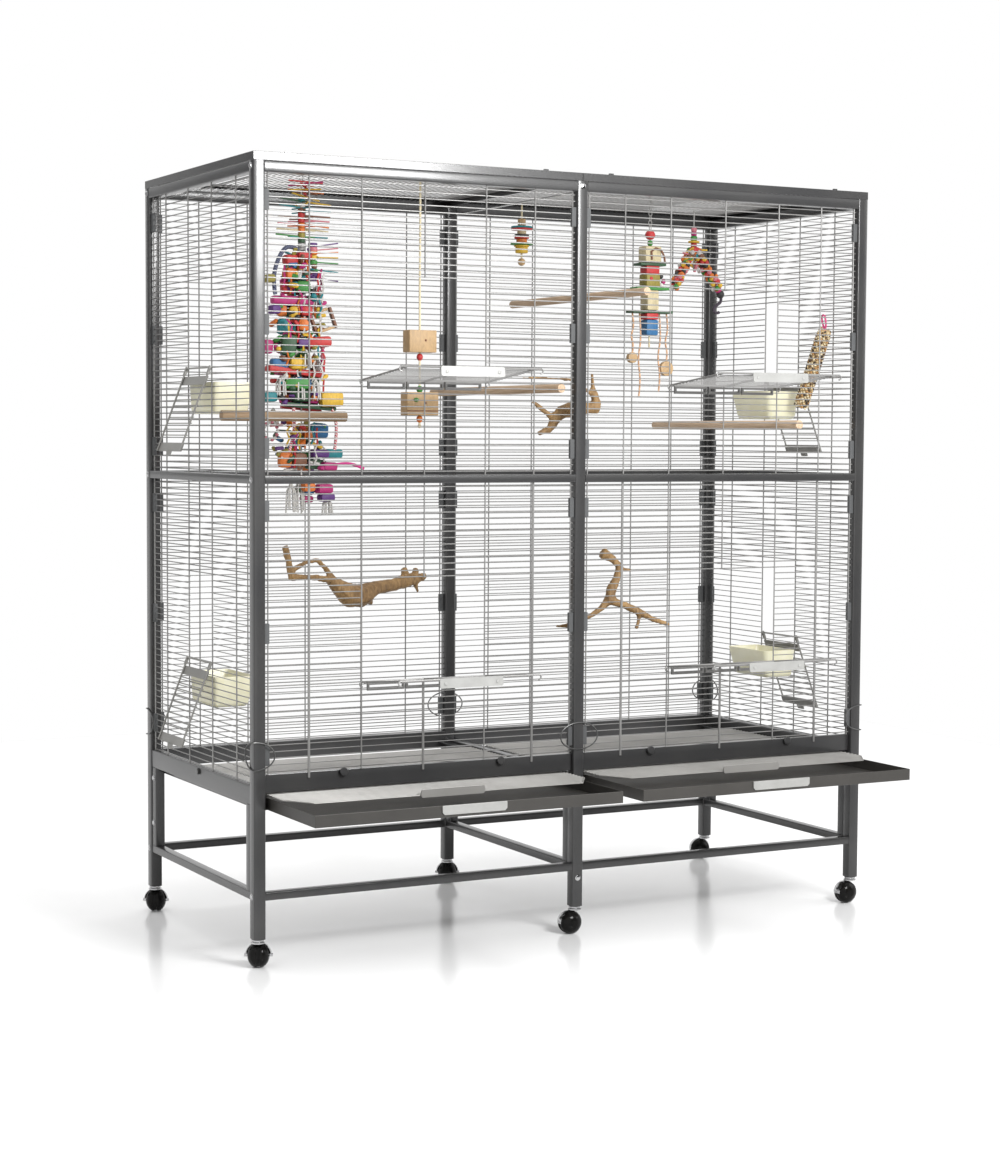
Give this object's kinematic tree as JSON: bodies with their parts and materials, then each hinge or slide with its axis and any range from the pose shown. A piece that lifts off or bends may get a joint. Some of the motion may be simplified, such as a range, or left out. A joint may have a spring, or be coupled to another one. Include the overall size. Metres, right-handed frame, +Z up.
{
  "type": "bird aviary",
  "caption": "Wide bird aviary on casters: tube frame, clipped wire panels, fold-out flaps, side feeders, sliding floor grates and trays, perches and hanging toys.",
  "frame": {"origin": "on the floor under the middle of the outline, with the trays pulled out as shown", "axes": "+Z up, -Y towards the front with the trays and landing flaps, +X to the right seen from the front"},
  "size_m": [1.6292, 0.8989, 1.639],
  "materials": {
    "frame_paint": "hammered powder coat",
    "wire_paint": "satin",
    "grate_paint": "satin",
    "tray_paint": "satin",
    "pull_plastic": "satin",
    "feeder_paint": "satin",
    "bright_steel": "polished",
    "chrome": "polished",
    "wheel_plastic": "gloss",
    "cup_plastic": "translucent satin",
    "perch_wood": "raw",
    "root_wood": "raw",
    "seed": "rough",
    "toy_wood": "dyed and raw"
  },
  "bodies": {
    "cage": {"frame_posts": "frame_paint", "top_rails": "frame_paint", "mid_rails": "frame_paint", "base_rails": "frame_paint", "stand_frames": "frame_paint", "tray_runners": "frame_paint", "stand_stretchers": "frame_paint", "tie_rod": "bright_steel", "roof_lids": "frame_paint", "roof_meshes": "frame_paint", "thumb_screws": "frame_paint", "front_panels_upper": "wire_paint", "front_panels_lower": "wire_paint", "back_panels": "wire_paint", "left_panels": "wire_paint", "right_panels": "wire_paint", "panel_clips": "feeder_paint", "lock_rings": "bright_steel", "rail_knobs": "frame_paint", "frame_bolts": "chrome", "flap_hinge_plates": "wire_paint", "feeder_cups": "cup_plastic", "straight_perches": "perch_wood", "root_perches": "root_wood", "seed_stick": "seed"},
    "front_flap_upper_left": {"front_flap_upper_left": "wire_paint", "front_flap_upper_left_handle": "pull_plastic"},
    "front_flap_upper_right": {"front_flap_upper_right": "wire_paint", "front_flap_upper_right_handle": "pull_plastic"},
    "front_flap_lower_left": {"front_flap_lower_left": "wire_paint", "front_flap_lower_left_handle": "pull_plastic"},
    "front_flap_lower_right": {"front_flap_lower_right": "wire_paint", "front_flap_lower_right_handle": "pull_plastic"},
    "feeder_flap_upper_left": {"feeder_flap_upper_left": "feeder_paint"},
    "feeder_flap_upper_right": {"feeder_flap_upper_right": "feeder_paint"},
    "feeder_flap_lower_left": {"feeder_flap_lower_left": "feeder_paint"},
    "feeder_flap_lower_right": {"feeder_flap_lower_right": "feeder_paint"},
    "tray_left": {"tray_left": "tray_paint", "tray_left_handle": "pull_plastic"},
    "floor_grate_left": {"floor_grate_left": "grate_paint"},
    "tray_right": {"tray_right": "tray_paint", "tray_right_handle": "pull_plastic"},
    "floor_grate_right": {"floor_grate_right": "grate_paint"},
    "caster_hood_front_left": {"caster_hood_front_left": "chrome"},
    "caster_wheel_front_left": {"caster_wheel_front_left": "wheel_plastic"},
    "caster_hood_front_middle": {"caster_hood_front_middle": "chrome"},
    "caster_wheel_front_middle": {"caster_wheel_front_middle": "wheel_plastic"},
    "caster_hood_front_right": {"caster_hood_front_right": "chrome"},
    "caster_wheel_front_right": {"caster_wheel_front_right": "wheel_plastic"},
    "caster_hood_back_left": {"caster_hood_back_left": "chrome"},
    "caster_wheel_back_left": {"caster_wheel_back_left": "wheel_plastic"},
    "caster_hood_back_middle": {"caster_hood_back_middle": "chrome"},
    "caster_wheel_back_middle": {"caster_wheel_back_middle": "wheel_plastic"},
    "caster_hood_back_right": {"caster_hood_back_right": "chrome"},
    "caster_wheel_back_right": {"caster_wheel_back_right": "wheel_plastic"},
    "toy_stick_tower": {"toy_stick_tower": "toy_wood"},
    "toy_wood_blocks": {"toy_wood_blocks": "toy_wood"},
    "toy_disc_stack": {"toy_disc_stack": "toy_wood"},
    "toy_plank_tiers": {"toy_plank_tiers": "toy_wood"},
    "toy_bead_loops": {"toy_bead_loops": "toy_wood"}
  },
  "joints": [
    {"name": "front_flap_upper_left_hinge", "type": "hinge", "parent": "cage", "child": "front_flap_upper_left", "pos_m": [-0.36875, -0.2115, 1.1886], "axis": [-1, 0, 0], "range_deg": [0, 84]},
    {"name": "front_flap_upper_right_hinge", "type": "hinge", "parent": "cage", "child": "front_flap_upper_right", "pos_m": [0.36875, -0.2115, 1.1886], "axis": [-1, 0, 0], "range_deg": [0, 84]},
    {"name": "front_flap_lower_left_hinge", "type": "hinge", "parent": "cage", "child": "front_flap_lower_left", "pos_m": [-0.36875, -0.2115, 0.5716], "axis": [-1, 0, 0], "range_deg": [0, 84]},
    {"name": "front_flap_lower_right_hinge", "type": "hinge", "parent": "cage", "child": "front_flap_lower_right", "pos_m": [0.36875, -0.2115, 0.5716], "axis": [-1, 0, 0], "range_deg": [0, 84]},
    {"name": "feeder_flap_upper_left_hinge", "type": "hinge", "parent": "cage", "child": "feeder_flap_upper_left", "pos_m": [-0.746, 0.1045, 1.2152], "axis": [0, 1, 0], "range_deg": [0, 159]},
    {"name": "feeder_flap_upper_right_hinge", "type": "hinge", "parent": "cage", "child": "feeder_flap_upper_right", "pos_m": [0.746, 0.1045, 1.2152], "axis": [0, -1, 0], "range_deg": [0, 159]},
    {"name": "feeder_flap_lower_left_hinge", "type": "hinge", "parent": "cage", "child": "feeder_flap_lower_left", "pos_m": [-0.746, 0.1045, 0.5982], "axis": [0, 1, 0], "range_deg": [0, 159]},
    {"name": "feeder_flap_lower_right_hinge", "type": "hinge", "parent": "cage", "child": "feeder_flap_lower_right", "pos_m": [0.746, 0.1045, 0.5982], "axis": [0, -1, 0], "range_deg": [0, 159]},
    {"name": "tray_left_slide", "type": "slide", "parent": "cage", "child": "tray_left", "axis": [0, -1, 0], "range_m": [-0.225, 0.2]},
    {"name": "floor_grate_left_slide", "type": "slide", "parent": "cage", "child": "floor_grate_left", "axis": [0, -1, 0], "range_m": [-0.128, 0.25]},
    {"name": "tray_right_slide", "type": "slide", "parent": "cage", "child": "tray_right", "axis": [0, -1, 0], "range_m": [-0.231, 0.2]},
    {"name": "floor_grate_right_slide", "type": "slide", "parent": "cage", "child": "floor_grate_right", "axis": [0, -1, 0], "range_m": [-0.116, 0.25]},
    {"name": "caster_swivel_front_left", "type": "hinge", "parent": "cage", "child": "caster_hood_front_left", "pos_m": [-0.7375, -0.203, 0.06], "axis": [0, 0, 1], "continuous": true},
    {"name": "caster_roll_front_left", "type": "hinge", "parent": "caster_hood_front_left", "child": "caster_wheel_front_left", "pos_m": [-0.73187, -0.1924, 0.025], "axis": [0.8829, -0.4695, 0], "continuous": true},
    {"name": "caster_swivel_front_middle", "type": "hinge", "parent": "cage", "child": "caster_hood_front_middle", "pos_m": [0, -0.203, 0.06], "axis": [0, 0, 1], "continuous": true},
    {"name": "caster_roll_front_middle", "type": "hinge", "parent": "caster_hood_front_middle", "child": "caster_wheel_front_middle", "pos_m": [-0.012, -0.203, 0.025], "axis": [0, 1, 0], "continuous": true},
    {"name": "caster_swivel_front_right", "type": "hinge", "parent": "cage", "child": "caster_hood_front_right", "pos_m": [0.7375, -0.203, 0.06], "axis": [0, 0, 1], "continuous": true},
    {"name": "caster_roll_front_right", "type": "hinge", "parent": "caster_hood_front_right", "child": "caster_wheel_front_right", "pos_m": [0.7255, -0.203, 0.025], "axis": [0, 1, 0], "continuous": true},
    {"name": "caster_swivel_back_left", "type": "hinge", "parent": "cage", "child": "caster_hood_back_left", "pos_m": [-0.7375, 0.412, 0.06], "axis": [0, 0, 1], "continuous": true},
    {"name": "caster_roll_back_left", "type": "hinge", "parent": "caster_hood_back_left", "child": "caster_wheel_back_left", "pos_m": [-0.73187, 0.42259, 0.025], "axis": [0.8829, -0.4695, 0], "continuous": true},
    {"name": "caster_swivel_back_middle", "type": "hinge", "parent": "cage", "child": "caster_hood_back_middle", "pos_m": [0, 0.412, 0.06], "axis": [0, 0, 1], "continuous": true},
    {"name": "caster_roll_back_middle", "type": "hinge", "parent": "caster_hood_back_middle", "child": "caster_wheel_back_middle", "pos_m": [0.00563, 0.42259, 0.025], "axis": [0.8829, -0.4695, 0], "continuous": true},
    {"name": "caster_swivel_back_right", "type": "hinge", "parent": "cage", "child": "caster_hood_back_right", "pos_m": [0.7375, 0.412, 0.06], "axis": [0, 0, 1], "continuous": true},
    {"name": "caster_roll_back_right", "type": "hinge", "parent": "caster_hood_back_right", "child": "caster_wheel_back_right", "pos_m": [0.72691, 0.41763, 0.025], "axis": [0.4695, 0.8829, 0], "continuous": true},
    {"name": "toy_stick_tower_swing", "type": "hinge", "parent": "cage", "child": "toy_stick_tower", "pos_m": [-0.5282, 0.0645, 1.6275], "axis": [0, 1, 0], "range_deg": [-3.5, 3.5]},
    {"name": "toy_wood_blocks_swing", "type": "hinge", "parent": "cage", "child": "toy_wood_blocks", "pos_m": [-0.3154, -0.0745, 1.6275], "axis": [0, 1, 0], "range_deg": [-5, 5]},
    {"name": "toy_disc_stack_swing", "type": "hinge", "parent": "cage", "child": "toy_disc_stack", "pos_m": [0, 0.0555, 1.595], "axis": [0, 1, 0], "range_deg": [-8, 8]},
    {"name": "toy_plank_tiers_swing", "type": "hinge", "parent": "cage", "child": "toy_plank_tiers", "pos_m": [0.2755, -0.0425, 1.6275], "axis": [1, 0, 0], "range_deg": [-6, 6]},
    {"name": "toy_bead_loops_swing", "type": "hinge", "parent": "cage", "child": "toy_bead_loops", "pos_m": [0.608, 0.2915, 1.6275], "axis": [0, 1, 0], "range_deg": [-6, 6]}
  ]
}
